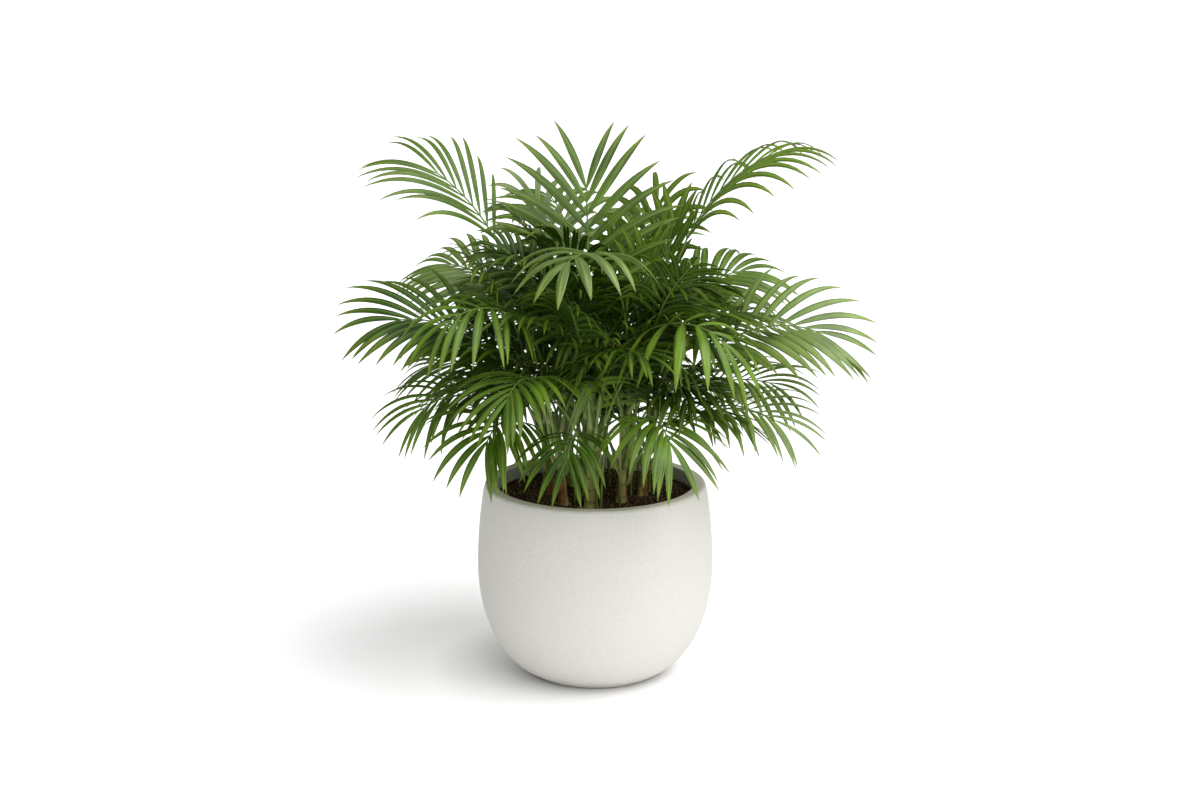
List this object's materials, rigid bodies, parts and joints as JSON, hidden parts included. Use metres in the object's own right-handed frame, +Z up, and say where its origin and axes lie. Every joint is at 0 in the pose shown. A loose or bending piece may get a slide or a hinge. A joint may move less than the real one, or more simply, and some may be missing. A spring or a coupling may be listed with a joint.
{
  "type": "potted areca palm",
  "caption": "Bushy areca palm with arching feather fronds on a clump of slim canes, in a round-bellied matte white planter with a flat foot and a flat thick rim.",
  "frame": {"origin": "centre of the pot's flat underside, at floor level", "axes": "+Z up, -Y towards the side that the picture shows, +X to that side's right"},
  "size_m": [0.7921, 0.7034, 0.8226],
  "materials": {
    "pot": "matte warm white, fine speckle and pinholes",
    "potting_mix": "dark brown granular potting mix",
    "cane": "olive to beige cane with leaf-scar rings, dry brown sheaths",
    "frond": "satin green leaflets with fine parallel veins"
  },
  "bodies": {
    "root": {"cane_back": "cane", "cane_back_left": "cane", "cane_back_right": "cane", "cane_centre": "cane", "cane_front": "cane", "cane_front_left": "cane", "cane_front_right": "cane", "cane_left": "cane", "cane_right": "cane", "frond_back_left_top": "frond", "frond_back_low_centre": "frond", "frond_back_low_far_left": "frond", "frond_back_low_far_right": "frond", "frond_back_low_left": "frond", "frond_back_low_right": "frond", "frond_back_mid_centre": "frond", "frond_back_mid_far_left": "frond", "frond_back_mid_far_right": "frond", "frond_back_mid_left": "frond", "frond_back_mid_right": "frond", "frond_back_right_top": "frond", "frond_back_top_left": "frond", "frond_back_top_right": "frond", "frond_centre_front": "frond", "frond_front_right": "frond", "frond_inner_far_left": "frond", "frond_inner_far_right": "frond", "frond_inner_front": "frond", "frond_inner_left": "frond", "frond_inner_left_back": "frond", "frond_inner_left_front": "frond", "frond_inner_low_back": "frond", "frond_inner_low_centre": "frond", "frond_inner_low_front": "frond", "frond_inner_low_left": "frond", "frond_inner_low_right": "frond", "frond_inner_right": "frond", "frond_inner_right_back": "frond", "frond_inner_right_front": "frond", "frond_left_back_mid": "frond", "frond_left_front": "frond", "frond_left_low_mid": "frond", "frond_left_mid": "frond", "frond_low_centre": "frond", "frond_low_front_left": "frond", "frond_low_left": "frond", "frond_low_right": "frond", "frond_right_low_back": "frond", "frond_right_low_mid": "frond", "frond_right_mid": "frond", "frond_right_upper_mid": "frond", "frond_top_centre": "frond", "frond_upper_left": "frond", "frond_upper_left_mid": "frond", "frond_upper_right": "frond", "pot": "pot", "soil": "potting_mix", "stalk_centre_front": "frond", "stalk_upper_left": "frond", "stalk_upper_right": "frond"}
  },
  "joints": []
}
